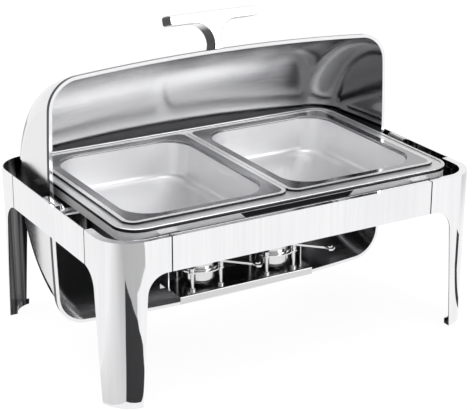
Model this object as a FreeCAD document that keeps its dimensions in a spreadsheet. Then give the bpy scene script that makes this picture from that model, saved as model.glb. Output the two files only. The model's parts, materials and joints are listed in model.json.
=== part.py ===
import FreeCAD, Part
import math
import os
import re
from collections import namedtuple

import Sketcher
from FreeCAD import Placement, Rotation, Vector

# A roll-top chafing dish for one full-size or two half-size gastronorm pans.
# X runs along the long front, Y to the back and Z up; the origin is on the floor, midway
# between the legs. The lid is held open: it has rolled back and down behind the pans.

SIZES = {
    # Outer frame of folded sheet: four legs and four aprons.
    "frame_length": 627,
    "frame_width": 418,
    "frame_height": 248.2,
    "frame_corner": 52,
    "frame_sheet": 1.5,
    "apron_height": 51.5,
    "corner_plate_front": 93.5,
    "corner_plate_side": 82.5,
    "front_apron_length": "=frame_length - corner_plate_front * 2",
    "side_apron_length": "=frame_width - corner_plate_side * 2",
    "seam_gap": 1.2,
    "flange_width": 12,
    "apron_hem": 7,
    "leg_front_width": 57,
    "leg_side_width": 57,
    "foot_front_width": 45,
    "foot_side_width": 40,
    "arch_radius": 31,
    "foot_hem": 12,
    "foot_lip": 9,
    "strap_width": 26,
    "strap_margin": 4,
    # Lid: a crowned barrel that turns about a line along X.
    "pivot_below_top": 21.4,
    "pivot_height": "=frame_height - pivot_below_top",
    "lid_side_gap": 8.7,
    "lid_radius": "=frame_width / 2 - lid_side_gap",
    "lid_end_gap": 19.5,
    "lid_half_length": "=frame_length / 2 - lid_end_gap",
    "lid_crown": 13.5,
    "lid_end_bulge": 7,
    "lid_corner": 45,
    "lid_sheet": 1.2,
    "rim_offset": 21.8,
    "rim_width": 8.5,
    "rim_proud": 4,
    # Lid handle: a cast T that stands on the crown.
    "handle_set_back": 60,
    "handle_length": 152,
    "handle_depth": 28,
    "handle_height": 61,
    "handle_crown": 3,
    "handle_tip": 17,
    "handle_neck": 12,
    "handle_sweep": 31,
    "handle_base": 20,
    "handle_edge": 2,
    # Pivot on each side.
    "pin_radius": 4,
    "running_gap": 0.05,
    "seat_gap": 0.3,
    "bracket_depth": 10.5,
    "bracket_sheet": 1.5,
    "bracket_front": 25,
    "bracket_rear": 15,
    "bracket_drop": 9.8,
    "bracket_bottom": "=pivot_height - bracket_drop",
    "bracket_top": "=frame_height + bracket_sheet",
    "ear_width": 28,
    "ear_sheet": 2,
    "ear_reach": 46,
    "ear_gap": 0.5,
    "bush_radius": 6,
    "bush_flange": 1.5,
    "hanger_x": "=water_half_length - rail_inset - rail_flange",
    "pivot_plate_sheet": 1.5,
    "pivot_plate_drop": 26.8,
    "pivot_plate_bottom": "=pivot_height - pivot_plate_drop",
    "pivot_plate_front": 32,
    "pivot_plate_rear": 14,
    "nut_across": 13,
    "nut_height": 5,
    "stop_gap": 3.3,
    "stop_bottom": "=frame_height - apron_height + stop_gap",
    "stop_top": "=bracket_bottom - 2",
    "stop_front": 9,
    # Water pan and the rails that carry it.
    "water_end_gap": 33,
    "water_front_gap": 25,
    "water_rear_gap": 30,
    "water_half_length": "=frame_length / 2 - water_end_gap",
    "water_front": "=frame_width / 2 - water_front_gap",
    "water_rear": "=frame_width / 2 - water_rear_gap",
    "water_corner": 36,
    "water_rise": 6.8,
    "water_ledge": "=frame_height + water_rise",
    "water_roll": 4,
    "water_roll_width": 3,
    "water_bead": 1.5,
    "water_bead_width": 5,
    "water_sheet": 1.2,
    "water_ledge_end": 28.5,
    "water_ledge_front": 32,
    "water_bowl_half_length": "=water_half_length - water_ledge_end",
    "water_bowl_half_width": "=water_front - water_ledge_front",
    "water_bowl_corner": 50,
    "water_depth": 89,
    "water_draft": 2,
    "water_floor_round": 12,
    "rail_inset": 1.5,
    "rail_height": 14,
    "rail_sheet": 1.5,
    "rail_flange": 14,
    "rail_wrap": "=water_front - water_corner * 2",
    "notch_half_length": 97,
    "tie_width": 30,
    "tie_x": "=front_apron_length / 2 - tie_width / 5",
    # Two half-size food pans side by side.
    "food_end_margin": 15.5,
    "food_pitch": "=(water_half_length - food_end_margin) / 2",
    "food_half_length": "=food_pitch - seat_gap",
    "food_front_margin": 21.5,
    "food_half_width": "=water_front - food_front_margin",
    "food_corner": 20,
    "food_lip": 3.3,
    "food_sheet": 0.9,
    "food_bend": 3.5,
    "food_flange": 20,
    "food_bowl_corner": 46,
    "food_depth": 65,
    "food_draft": 6,
    "food_floor_round": 16,
    # Fuel shelf and its hangers.
    "shelf_drop": 184,
    "shelf_half_length": 119,
    "shelf_front": 43,
    "shelf_rear": 26,
    "shelf_top": "=water_ledge - shelf_drop",
    "shelf_lip": 12,
    "shelf_sheet": 1.2,
    "shelf_tab": 24,
    "hanger_front": 7,
    "hanger_sheet": 1.8,
    "hanger_bend": 6,
    "hanger_crossing": "=water_ledge - water_depth - hanger_bend",
    "hanger_top": "=frame_height - pivot_below_top / 2",
    # Fuel burners with swivelling snuffers.
    "burner_end_margin": 52.5,
    "burner_x": "=shelf_half_length - burner_end_margin",
    "burner_y": -5,
    "ring_rise": 31,
    "ring_top": "=shelf_top + ring_rise",
    "ring_sheet": 2,
    "ring_radius": 36.5,
    "ring_hole": 29.5,
    "post_offset": 25,
    "post_radius": 2.8,
    "post_nut": 7,
    "post_top": "=ring_top + post_nut",
    "pot_radius": 26.5,
    "pot_lift": 4,
    "pot_bottom": "=shelf_top + pot_lift",
    "pot_height": 42.7,
    "pot_top": "=pot_bottom + pot_height",
    "pot_wall": 1,
    "pot_round": 10,
    "pot_bead": 30.5,
    "cap_radius": 27.5,
    "cap_height": 4,
    "wire": 3.2,
    "eye_radius": 5,
    "snuffer_screw_radius": 2,
    "stem_reach": 83,
    "loop_reach": 101,
    "loop_half_width": 13,
    "lever_notch": "=burner_y + shelf_half_length + hanger_sheet - burner_x - post_offset * 2 + wire * 1.5",
}

FRAME_FRONT = "(0 - frame_width / 2)"
FRAME_LEFT = "(0 - frame_length / 2)"
FRONT_SEAM = "(0 - front_apron_length / 2)"
SIDE_SEAM = "(0 - side_apron_length / 2)"
APRON_BOTTOM = "(frame_height - apron_height)"
CROWN_ARC = "((lid_half_length ^ 2 + lid_crown ^ 2) / (2 * lid_crown))"
END_ARC = "((lid_radius ^ 2 + lid_end_bulge ^ 2) / (2 * lid_end_bulge))"
RAIL_X = "(water_half_length - rail_inset)"
RAIL_Y = "(water_front - rail_inset)"
RAIL_TOP = "(water_ledge - water_roll)"
EAR_X = "(lid_half_length - lid_sheet - ear_gap - ear_sheet)"
LEFT_FACE = "(0 - frame_length / 2 + frame_sheet)"

Circle = namedtuple("Circle", "x y radius")

doc = FreeCAD.newDocument("ChafingDish")
sheet = doc.addObject("Spreadsheet::Sheet", "Sizes")
for row, (size_name, size) in enumerate(SIZES.items(), start=1):
    sheet.set(f"A{row}", size_name)
    sheet.setAlias(f"B{row}", size_name)
for row, size in enumerate(SIZES.values(), start=1):
    sheet.set(f"B{row}", str(size))
doc.recompute()


# Formulas, sketches and features ---------------------------------------------------------

def formula(text):
    """Point every size name in a formula at its cell."""
    return re.sub(r"[a-z_]+", lambda word: "Sizes." + word[0] if word[0] in SIZES else word[0], str(text))


def value(text):
    """The number that a formula gives now."""
    return float(sheet.evalExpression(formula(text)))


def bind(item, settings):
    """Tie properties of an object to formulas."""
    for name, text in settings.items():
        item.setExpression(name, formula(text))
    return item


def fix(sketch, kind, references, text):
    """Add one dimension to a sketch and tie it to a formula."""
    index = sketch.addConstraint(Sketcher.Constraint(kind, *references, value(text)))
    sketch.setExpression(f"Constraints[{index}]", formula(text))


def place_point(sketch, geometry, end, x, y):
    fix(sketch, "DistanceX", (geometry, end), x)
    fix(sketch, "DistanceY", (geometry, end), y)


def draw_circle(sketch, circle):
    centre = Vector(value(circle.x), value(circle.y), 0)
    ring = sketch.addGeometry(Part.Circle(centre, Vector(0, 0, 1), value(circle.radius)), False)
    fix(sketch, "Radius", (ring,), circle.radius)
    place_point(sketch, ring, 3, circle.x, circle.y)


def draw_outline(sketch, corners):
    """Closed outline through corners (x, y) or, where it bends, (x, y, radius)."""
    points = [Vector(value(corner[0]), value(corner[1]), 0) for corner in corners]
    count = len(points)
    arrive, leave, arcs = [], [], []
    for index, corner in enumerate(corners):
        point = points[index]
        if len(corner) == 2:
            arrive.append(point)
            leave.append(point)
            arcs.append(None)
            continue
        back = (points[index - 1] - point).normalize()
        ahead = (points[(index + 1) % count] - point).normalize()
        half_angle = back.getAngle(ahead) / 2
        radius = value(corner[2])
        arrive.append(point + back * (radius / math.tan(half_angle)))
        leave.append(point + ahead * (radius / math.tan(half_angle)))
        centre = point + (back + ahead).normalize() * (radius / math.sin(half_angle))
        turns_left = back.cross(ahead).z < 0
        first, last = (arrive[-1], leave[-1]) if turns_left else (leave[-1], arrive[-1])
        angles = [math.atan2(spot.y - centre.y, spot.x - centre.x) for spot in (first, last)]
        arc = Part.ArcOfCircle(Part.Circle(centre, Vector(0, 0, 1), radius), *angles)
        arcs.append((arc, turns_left))
    lines = []
    for index in range(count):
        segment = Part.LineSegment(leave[index], arrive[(index + 1) % count])
        lines.append(sketch.addGeometry(segment, False))
    for index, corner in enumerate(corners):
        before, after = lines[index - 1], lines[index]
        if arcs[index] is None:
            sketch.addConstraint(Sketcher.Constraint("Coincident", before, 2, after, 1))
            place_point(sketch, after, 1, corner[0], corner[1])
            continue
        arc, turns_left = arcs[index]
        bend = sketch.addGeometry(arc, False)
        tip = sketch.addGeometry(Part.Point(points[index]), True)
        first, last = (1, 2) if turns_left else (2, 1)
        sketch.addConstraint(Sketcher.Constraint("Tangent", before, 2, bend, first))
        sketch.addConstraint(Sketcher.Constraint("Tangent", bend, last, after, 1))
        sketch.addConstraint(Sketcher.Constraint("PointOnObject", tip, 1, before))
        sketch.addConstraint(Sketcher.Constraint("PointOnObject", tip, 1, after))
        fix(sketch, "Radius", (bend,), corner[2])
        place_point(sketch, tip, 1, corner[0], corner[1])


def new_sketch(body, plane, start, loops):
    """Sketch on one of the body's own planes, moved along the plane's positive axis."""
    sketch = body.newObject("Sketcher::SketchObject", "Sketch")
    role = plane + "_Plane"
    base = [item for item in body.Origin.OriginFeatures if item.Role == role][0]
    sketch.AttachmentSupport = [(base, "")]
    sketch.MapMode = "FlatFace"
    sign = "0 -" if plane == "XZ" else "0 +"
    sketch.setExpression("AttachmentOffset.Base.z", formula(f"{sign} ({start})"))
    for loop in loops:
        if isinstance(loop, Circle):
            draw_circle(sketch, loop)
        else:
            draw_outline(sketch, loop)
    return sketch


def new_body(name, x="0", y="0", z="0"):
    body = doc.addObject("PartDesign::Body", name)
    body.Label = name
    bind(body, {"Placement.Base.x": x, "Placement.Base.y": y, "Placement.Base.z": z})
    doc.recompute()
    return body


def prism(body, plane, start, length, *loops, cut=False, draft="0"):
    """Pad or pocket from start to start + length along the plane's positive axis."""
    before = body.Shape.Volume if cut else 0
    sketch = new_sketch(body, plane, start, loops)
    feature = body.newObject("PartDesign::Pocket" if cut else "PartDesign::Pad", "Prism")
    feature.Profile = sketch
    feature.Reversed = (plane == "XZ") != cut
    bind(feature, {"Length": length, "TaperAngle": draft})
    doc.recompute()
    if cut and body.Shape.Volume > before - 0.001:
        raise RuntimeError(f"{body.Label}: a cut along {plane} removes nothing")
    return feature


def sunk(body, length, *loops, top="0", cut=False, draft="0"):
    """Pad or pocket from the height called top downwards."""
    before = body.Shape.Volume if cut else 0
    sketch = new_sketch(body, "XY", top, loops)
    feature = body.newObject("PartDesign::Pocket" if cut else "PartDesign::Pad", "Sunk")
    feature.Profile = sketch
    feature.Reversed = not cut
    bind(feature, {"Length": length, "TaperAngle": draft})
    doc.recompute()
    if cut and body.Shape.Volume > before - 0.001:
        raise RuntimeError(f"{body.Label}: a sunk cut removes nothing")
    return feature


def turned(name, corners, x="0", y="0", z="0", along="Z"):
    """Solid turned about its own axis; corners are (radius, height) or with a bend."""
    body = new_body(name, x, y, z)
    if along == "X":
        body.Placement.Rotation = Rotation(Vector(0, 1, 0), 90)
    sketch = new_sketch(body, "XZ", "0", [corners])
    feature = body.newObject("PartDesign::Revolution", "Turned")
    feature.Profile = sketch
    feature.ReferenceAxis = (sketch, ["V_Axis"])
    feature.Angle = 360
    doc.recompute()
    return body


def round_edges(body, radius, chosen):
    """Fillet the edges of the body that chosen accepts."""
    names = [f"Edge{index}" for index, edge in enumerate(body.Shape.Edges, start=1) if chosen(edge)]
    if not names:
        raise RuntimeError(f"{body.Label}: no edge to round")
    base = body.Tip
    fillet = body.newObject("PartDesign::Fillet", "Round")
    fillet.Base = (base, names)
    bind(fillet, {"Radius": radius})
    doc.recompute()


def lies_at(axis, text):
    """Accept edges that lie wholly at one coordinate of the document."""
    level = value(text)

    def accept(edge):
        box = edge.BoundBox
        low, high = getattr(box, axis + "Min"), getattr(box, axis + "Max")
        return abs(low - level) < 0.02 and abs(high - level) < 0.02
    return accept


def boolean(kind, name, base, tool):
    result = doc.addObject("Part::" + kind, name)
    result.Label = name
    result.Base = base
    result.Tool = tool
    doc.recompute()
    return result


def mirrored(name, source, normal=(1, 0, 0)):
    copy = doc.addObject("Part::Mirroring", name)
    copy.Label = name
    copy.Source = source
    copy.Normal = normal
    doc.recompute()
    return copy


def group(name, members):
    """Identical small pieces kept together as separate solids."""
    bundle = doc.addObject("Part::Compound", name)
    bundle.Label = name
    bundle.Links = members
    doc.recompute()
    return bundle


def rounded_rectangle(half_x, half_y, radius):
    low_x, low_y = f"0 - ({half_x})", f"0 - ({half_y})"
    return [(low_x, low_y, radius), (half_x, low_y, radius), (half_x, half_y, radius), (low_x, half_y, radius)]


def drafted_bowl(body, bowl, inset, floor_round):
    """Drafted block with a rounded floor, sunk from the body's own zero height."""
    half_x, half_y, bend, depth, draft = bowl
    block = rounded_rectangle(f"{half_x} - {inset}", f"{half_y} - {inset}", f"{bend} - {inset}")
    sunk(body, f"{depth} - {inset}", block, draft=f"0 - {draft}")
    floor = f"{body.Placement.Base.z} - {depth} + {inset}"
    round_edges(body, f"{floor_round} - {inset}", lies_at("Z", floor))


def take_out_inside(pan, bowl, wall, floor_round):
    """Cut the inside of a pan's bowl, one wall smaller than its outside."""
    inside = doc.addObject("PartDesign::Body", pan.Label + "_inside")
    inside.Placement = pan.Placement
    doc.recompute()
    drafted_bowl(inside, bowl, wall, floor_round)
    inside.Placement = Placement()
    cut = pan.newObject("PartDesign::Boolean", "Hollow")
    cut.Type = "Cut"
    cut.setObjects([inside])
    doc.recompute()


# Frame -----------------------------------------------------------------------------------

def corner_plan(front, inset_from, inset_to, bend):
    """Plan of a sheet that wraps the left corner, between two insets from the outside."""
    across = "" if front else "0 - "
    left_edge, seam_x = FRAME_LEFT, f"{FRONT_SEAM} - seam_gap"
    corners = [
        (seam_x, f"{FRAME_FRONT} + {inset_from}"),
        (f"{left_edge} + {inset_from}", f"{FRAME_FRONT} + {inset_from}", f"{bend} - {inset_from}"),
        (f"{left_edge} + {inset_from}", f"{SIDE_SEAM} - seam_gap"),
        (f"{left_edge} + {inset_to}", f"{SIDE_SEAM} - seam_gap"),
        (f"{left_edge} + {inset_to}", f"{FRAME_FRONT} + {inset_to}", f"{bend} - {inset_to}"),
        (seam_x, f"{FRAME_FRONT} + {inset_to}"),
    ]
    return [(corner[0], f"{across}({corner[1]})", *corner[2:]) for corner in corners]


def arch_cut(edge, corner_width, foot_width, seam):
    """What is cut away beside a leg: below the apron, and back to the tapered edge."""
    return [
        (f"{edge} + {foot_width}", "0"),
        (f"{edge} + {corner_width}", APRON_BOTTOM, "arch_radius"),
        (f"{seam} + frame_corner", APRON_BOTTOM),
        (f"{seam} + frame_corner", "0"),
    ]


def left_leg(name, front):
    """Corner leg that carries the ends of two aprons, with a turned-in foot."""
    leg = new_body(name)
    prism(leg, "XY", "0", "frame_height", corner_plan(front, "0", "frame_sheet", "frame_corner"))
    prism(leg, "XY", "0", "frame_sheet", corner_plan(front, "0", "foot_hem", "frame_corner"))
    prism(leg, "XY", "0", "foot_lip", corner_plan(front, "foot_hem - frame_sheet", "foot_hem", "frame_corner"))
    if front:
        top = "frame_height - frame_sheet"
        prism(leg, "XY", top, "frame_sheet", corner_plan(front, "0", "flange_width", "frame_corner"))
    span = "frame_width + 2 * frame_sheet"
    front_cut = arch_cut(FRAME_LEFT, "leg_front_width", "foot_front_width", FRONT_SEAM)
    prism(leg, "XZ", f"0 - ({span}) / 2", span, front_cut, cut=True)
    side_cut = arch_cut(FRAME_FRONT, "leg_side_width", "foot_side_width", SIDE_SEAM)
    if not front:
        side_cut = [(f"0 - ({corner[0]})", *corner[1:]) for corner in side_cut]
    prism(leg, "YZ", f"{FRAME_LEFT} - frame_sheet", "frame_corner + flange_width", side_cut, cut=True)
    return leg


def apron(name, plane, outside, length, flange, hem):
    """Straight band with a flange turned in at the top and a hem at the bottom."""
    top, bottom = "frame_height", APRON_BOTTOM
    inner = f"{outside} + frame_sheet"
    section = [(outside, bottom), (outside, top)]
    if flange:
        section += [(f"{outside} + flange_width", top), (f"{outside} + flange_width", f"{top} - frame_sheet")]
        section += [(inner, f"{top} - frame_sheet")]
    else:
        section += [(inner, top)]
    if hem:
        section += [(inner, f"{bottom} + frame_sheet"), (f"{outside} + apron_hem", f"{bottom} + frame_sheet")]
        section += [(f"{outside} + apron_hem", bottom)]
    else:
        section += [(inner, bottom)]
    band = new_body(name)
    prism(band, plane, f"0 - ({length}) / 2", length, section)
    return band


def seam_strap(name, across, outside, seam):
    """Flat strap behind a seam, lying on the inner faces of the leg and the apron."""
    strap = new_body(name)
    low, high = f"{APRON_BOTTOM} + apron_hem + strap_margin", "frame_height - flange_width - strap_margin"
    outline = [
        (f"{seam} - strap_width / 2", low), (f"{seam} + strap_width / 2", low),
        (f"{seam} + strap_width / 2", high), (f"{seam} - strap_width / 2", high),
    ]
    prism(strap, across, f"{outside} + frame_sheet", "frame_sheet", outline)
    return strap


leg_front_left = left_leg("leg_front_left", True)
leg_rear_left = left_leg("leg_rear_left", False)
leg_front_right = mirrored("leg_front_right", leg_front_left)
leg_rear_right = mirrored("leg_rear_right", leg_rear_left)
apron_front = apron("apron_front", "YZ", FRAME_FRONT, "front_apron_length", True, True)
rear_band = apron("rear_band", "YZ", FRAME_FRONT, "front_apron_length", False, False)
apron_rear = mirrored("apron_rear", rear_band, (0, 1, 0))
apron_left = apron("apron_left", "XZ", FRAME_LEFT, "side_apron_length", False, True)
apron_right = mirrored("apron_right", apron_left)
front_strap = seam_strap("front_strap", "XZ", FRAME_FRONT, f"{FRONT_SEAM} - seam_gap / 2")
side_strap = seam_strap("side_strap", "YZ", FRAME_LEFT, f"{SIDE_SEAM} - seam_gap / 2")
straps = [front_strap, side_strap]
straps += [mirrored(item.Label + "_behind", item, (0, 1, 0)) for item in straps]
straps += [mirrored(item.Label + "_opposite", item) for item in straps]
seam_straps = group("seam_straps", straps)


# Lid -------------------------------------------------------------------------------------

def barrel(name, growth):
    """Half barrel about X: a crowned wall, bulging ends and a rounded corner between them."""
    body = new_body(name, z="pivot_height")
    sketch = new_sketch(body, "XY", "0", [])
    crown_radius, end_radius = f"{CROWN_ARC} + {growth}", f"{END_ARC} + {growth}"
    crown_centre = Vector(0, value(f"lid_radius - {CROWN_ARC}"), 0)
    reach = value(f"lid_half_length + {growth}")
    corner_x = value(f"lid_half_length - lid_end_bulge + {growth}")
    corner_y = value(f"lid_radius - lid_crown + {growth}")
    up = Vector(0, 0, 1)
    lean = math.asin(corner_x / value(crown_radius))
    crown = Part.ArcOfCircle(Part.Circle(crown_centre, up, value(crown_radius)),
                             math.pi / 2 - lean, math.pi / 2 + lean)
    crown = sketch.addGeometry(crown, False)
    axis = sketch.addGeometry(Part.LineSegment(Vector(-reach, 0, 0), Vector(reach, 0, 0)), False)
    rise = math.asin(corner_y / value(end_radius))
    right_circle = Part.Circle(Vector(reach - value(end_radius), 0, 0), up, value(end_radius))
    left_circle = Part.Circle(Vector(value(end_radius) - reach, 0, 0), up, value(end_radius))
    right = sketch.addGeometry(Part.ArcOfCircle(right_circle, 0, rise), False)
    left = sketch.addGeometry(Part.ArcOfCircle(left_circle, math.pi - rise, math.pi), False)
    for first, first_end, second, second_end in (
            (axis, 2, right, 1), (right, 2, crown, 1), (crown, 2, left, 1), (left, 2, axis, 1)):
        sketch.addConstraint(Sketcher.Constraint("Coincident", first, first_end, second, second_end))
    fix(sketch, "Radius", (crown,), crown_radius)
    place_point(sketch, crown, 3, "0", f"lid_radius - {CROWN_ARC}")
    for arc, side in ((right, ""), (left, "0 - ")):
        fix(sketch, "Radius", (arc,), end_radius)
        place_point(sketch, arc, 3, f"{side}(lid_half_length - {END_ARC})", "0")
    turn = body.newObject("PartDesign::Revolution", "Barrel")
    turn.Profile = sketch
    turn.ReferenceAxis = (sketch, ["H_Axis"])
    turn.Midplane = True
    turn.Angle = 180
    doc.recompute()
    flat_limit = value("lid_end_bulge") / 4

    def rounds_the_end(edge):
        box = edge.BoundBox
        return box.XLength < flat_limit and abs(box.Center.x) > reach / 2 and box.ZLength > reach / 2
    round_edges(body, f"lid_corner + {growth}", rounds_the_end)
    return body


def trim(body, start, end):
    """Cut away everything between two distances in front of or behind the pivot line."""
    window = rounded_rectangle("lid_half_length * 2", "lid_radius * 2", "rim_width")
    prism(body, "XZ", start, f"{end} - ({start})", window, cut=True)


def lid_parts():
    outer = barrel("dome_outside", "0")
    trim(outer, "0 - 1", "rim_offset")
    inner = barrel("dome_inside", "(0 - lid_sheet)")
    core = barrel("rim_inside", "0")
    band = barrel("rim_outside", "rim_proud")
    trim(band, "0 - 1", "rim_offset")
    trim(band, "rim_offset + rim_width", "lid_radius * 2")
    hollow = boolean("Cut", "dome_hollow", outer, inner)
    rim = boolean("Cut", "lid_rim", band, core)
    return hollow, rim, core


def lid_handle(dome):
    """Cast T whose foot follows the crown behind the rim; its top slopes down to the front."""
    cast = new_body("handle_cast", z="pivot_height")
    lean = math.degrees(math.asin(value("handle_set_back / lid_radius")))
    cast.Placement.Rotation = Rotation(Vector(1, 0, 0), -lean)
    half, top = "handle_length / 2", "lid_radius + handle_height"
    arm = f"{top} - handle_tip"
    right = [
        ("handle_base / 2", "lid_radius - 4"),
        ("handle_neck / 2", "lid_radius + handle_base / 2", "handle_neck"),
        ("handle_neck / 2", arm, "handle_sweep"),
        (half, arm, "handle_tip / 3"),
        (half, top, "handle_tip / 3"),
    ]
    left = [(f"0 - {corner[0]}", *corner[1:]) for corner in reversed(right)]
    prism(cast, "XZ", "0 - handle_depth / 2", "handle_depth", right + left)
    above = f"{top} + 1"
    slope = [("0 - handle_depth", f"{top} - handle_crown * 1.5"), ("handle_crown", top), ("handle_crown", above),
             ("0 - handle_depth", above)]
    prism(cast, "YZ", "0 - handle_length", "handle_length * 2", slope, cut=True)
    depth = value("handle_depth") / 2

    def on_a_face(edge):
        spread = [abs(abs(cast.Placement.inverse().multVec(vertex.Point).y) - depth) for vertex in edge.Vertexes]
        middle = cast.Placement.inverse().multVec(edge.CenterOfMass)
        return max(spread) < 0.02 and abs(abs(middle.y) - depth) < 0.02
    round_edges(cast, "handle_edge", on_a_face)
    return boolean("Cut", "lid_handle", cast, dome)


lid_shell, lid_rim, dome_core = lid_parts()
lid_shell.Label = "lid_shell"
handle = lid_handle(dome_core)


def left_ear():
    """Tab inside the end of the lid, rounded about the pin, with a hole for its bush."""
    ear = new_body("lid_ear_left", z="pivot_height")
    outline = [
        ("0 - ear_width / 2", "0 - ear_width / 2", "ear_width / 2 - 0.1"),
        ("ear_reach", "0 - ear_width / 2", "ear_width / 5"),
        ("ear_reach", "ear_width / 2", "ear_width / 5"),
        ("0 - ear_width / 2", "ear_width / 2", "ear_width / 2 - 0.1"),
    ]
    prism(ear, "YZ", f"0 - {EAR_X} - ear_sheet", "ear_sheet", outline, Circle("0", "0", "bush_radius"))
    return ear


def pivot_part(name, corners, start):
    """Small turned piece on the pivot line; start is its left end."""
    return turned(name, corners, x=start, z="pivot_height", along="X")


lid_ear_left = left_ear()
lid_ear_right = mirrored("lid_ear_right", lid_ear_left)
bush_bore = "pin_radius + running_gap"
bush_corners = [
    (bush_bore, "0"), ("bush_radius", "0"), ("bush_radius", "ear_sheet"),
    ("bush_radius * 1.5", "ear_sheet"), ("bush_radius * 1.5", "ear_sheet + bush_flange"),
    (bush_bore, "ear_sheet + bush_flange"),
]
pivot_bush_left = pivot_part("pivot_bush_left", bush_corners, f"0 - {EAR_X} - ear_sheet")
pivot_bush_right = mirrored("pivot_bush_right", pivot_bush_left)
rivet_corners = [("0", "0"), ("4", "0"), ("4", "0.6", "0.5"), ("2.5", "1.8", "0.8"), ("0", "1.8")]
rivets = [
    turned(f"ear_rivet_{place}", rivet_corners, f"0 - {EAR_X}", "ear_reach - ear_width / 3",
           f"pivot_height {side} ear_width / 4", "X")
    for place, side in (("upper", "+"), ("lower", "-"))
]
rivets += [mirrored(item.Label + "_opposite", item) for item in rivets]
ear_rivets = group("ear_rivets", rivets)


# Pivot -----------------------------------------------------------------------------------

def left_bracket():
    """Saddle over the apron side of the pin: two walls joined across the top."""
    outer_x, inner_x = LEFT_FACE, f"{LEFT_FACE} + bracket_depth"
    sheet_width = "bracket_sheet"
    section = [
        (outer_x, "bracket_bottom"), (outer_x, "bracket_top", "bracket_sheet * 1.5"),
        (inner_x, "bracket_top", "bracket_sheet * 1.5"), (inner_x, "bracket_bottom"),
        (f"{inner_x} - {sheet_width}", "bracket_bottom"),
        (f"{inner_x} - {sheet_width}", f"bracket_top - {sheet_width}", "bracket_sheet / 2"),
        (f"{outer_x} + {sheet_width}", f"bracket_top - {sheet_width}", "bracket_sheet / 2"),
        (f"{outer_x} + {sheet_width}", "bracket_bottom"),
    ]
    saddle = new_body("pivot_bracket_left")
    prism(saddle, "XZ", "0 - bracket_front", "bracket_front + bracket_rear", section)
    hole = Circle("0", "pivot_height", bush_bore)
    prism(saddle, "YZ", f"{LEFT_FACE} - 1", "bracket_depth + 2", hole, cut=True)
    return saddle


def left_pivot_plate():
    """Inner plate that hangs from the side rail and holds the pin's other end."""
    plate = new_body("pivot_plate_left")
    top = f"{RAIL_TOP} - rail_sheet"
    outline = [
        ("0 - pivot_plate_front", top), ("pivot_plate_rear", top),
        ("pivot_plate_rear", "pivot_plate_bottom", "pivot_plate_rear / 2"),
        ("0 - pivot_plate_front", "pivot_plate_bottom", "pivot_plate_rear / 2"),
    ]
    hole = Circle("0", "pivot_height", bush_bore)
    prism(plate, "YZ", "0 - hanger_x - pivot_plate_sheet", "pivot_plate_sheet", outline, hole)
    return plate


def left_stop():
    """Tab on the apron that the rim of the open lid leans against, below the pivot."""
    stop = new_body("lid_stop_left")
    tip = f"0 - {EAR_X} - ear_sheet - bush_flange"
    rear = "rim_offset - seat_gap"
    outline = [
        (LEFT_FACE, "stop_front - ear_width / 2"), (LEFT_FACE, rear), (tip, rear),
        (tip, "stop_front", "frame_sheet"), (f"{LEFT_FACE} + frame_sheet", "stop_front", "frame_sheet"),
        (f"{LEFT_FACE} + frame_sheet", "stop_front - ear_width / 2"),
    ]
    prism(stop, "XY", "stop_bottom", "stop_top - stop_bottom", outline)
    return stop


pivot_bracket_left = left_bracket()
pivot_bracket_right = mirrored("pivot_bracket_right", pivot_bracket_left)
pivot_plate_left = left_pivot_plate()
pivot_plate_right = mirrored("pivot_plate_right", pivot_plate_left)
lid_stop_left = left_stop()
lid_stop_right = mirrored("lid_stop_right", lid_stop_left)
pin_length = f"0 - hanger_x + hanger_sheet + nut_height + 2 - ({LEFT_FACE}) - bracket_sheet / 2"
pin_corners = [("0", "0"), ("pin_radius", "0"), ("pin_radius", f"{pin_length} - 1"),
               ("pin_radius - 1", pin_length), ("0", pin_length)]
pivot_pin_left = pivot_part("pivot_pin_left", pin_corners, f"{LEFT_FACE} + bracket_sheet / 2")
pivot_pin_right = mirrored("pivot_pin_right", pivot_pin_left)


def sleeve(name, start, length, outside):
    corners = [(bush_bore, "0"), (outside, "0"), (outside, length), (bush_bore, length)]
    return pivot_part(name, corners, start)


outer_spacer = sleeve("outer_spacer", f"{LEFT_FACE} + bracket_depth",
                      f"0 - {EAR_X} - ear_sheet - seat_gap - ({LEFT_FACE} + bracket_depth)", "bush_radius")
inner_spacer = sleeve("inner_spacer", f"0 - {EAR_X} + bush_flange + seat_gap",
                      f"{EAR_X} - bush_flange - seat_gap - hanger_x - pivot_plate_sheet", "bush_radius")
spacers = [outer_spacer, inner_spacer]
pivot_spacers = group("pivot_spacers", spacers + [mirrored(item.Label + "_opposite", item) for item in spacers])


def left_nut():
    nut = new_body("pivot_nut", z="pivot_height")
    radius = "nut_across / 2 / cos(30)"
    corners = [(f"{radius} * cos({60 * turn})", f"{radius} * sin({60 * turn})") for turn in range(6)]
    prism(nut, "YZ", "0 - hanger_x + hanger_sheet", "nut_height", corners, Circle("0", "0", bush_bore))
    return nut


pivot_nut = left_nut()
pivot_nuts = group("pivot_nuts", [pivot_nut, mirrored("pivot_nut_opposite", pivot_nut)])


# Water pan and rails ---------------------------------------------------------------------

def water_pan():
    """Deep pan with a flat ledge for the food pans, a bead and a rolled outer edge."""
    pan = new_body("water_pan", z="water_ledge")

    def rim(inset):
        low_x, high_x = f"{inset} - water_half_length", f"water_half_length - {inset}"
        low_y, high_y = f"{inset} - water_front", f"water_rear - {inset}"
        bend = f"water_corner - {inset}"
        return [(low_x, low_y, bend), (high_x, low_y, bend), (high_x, high_y, bend), (low_x, high_y, bend)]
    sunk(pan, "water_sheet", rim("0"))
    sunk(pan, "water_roll", rim("0"), rim("water_roll_width"))
    sunk(pan, "water_bead + water_sheet", rim("0"), rim("water_bead_width"), top="water_bead")
    round_edges(pan, "water_bead * 0.9", lies_at("Z", "water_ledge + water_bead"))
    bowl = ("water_bowl_half_length", "water_bowl_half_width", "water_bowl_corner", "water_depth", "water_draft")
    drafted_bowl(pan, bowl, "0", "water_floor_round")
    take_out_inside(pan, bowl, "water_sheet", "water_floor_round")
    return pan


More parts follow.
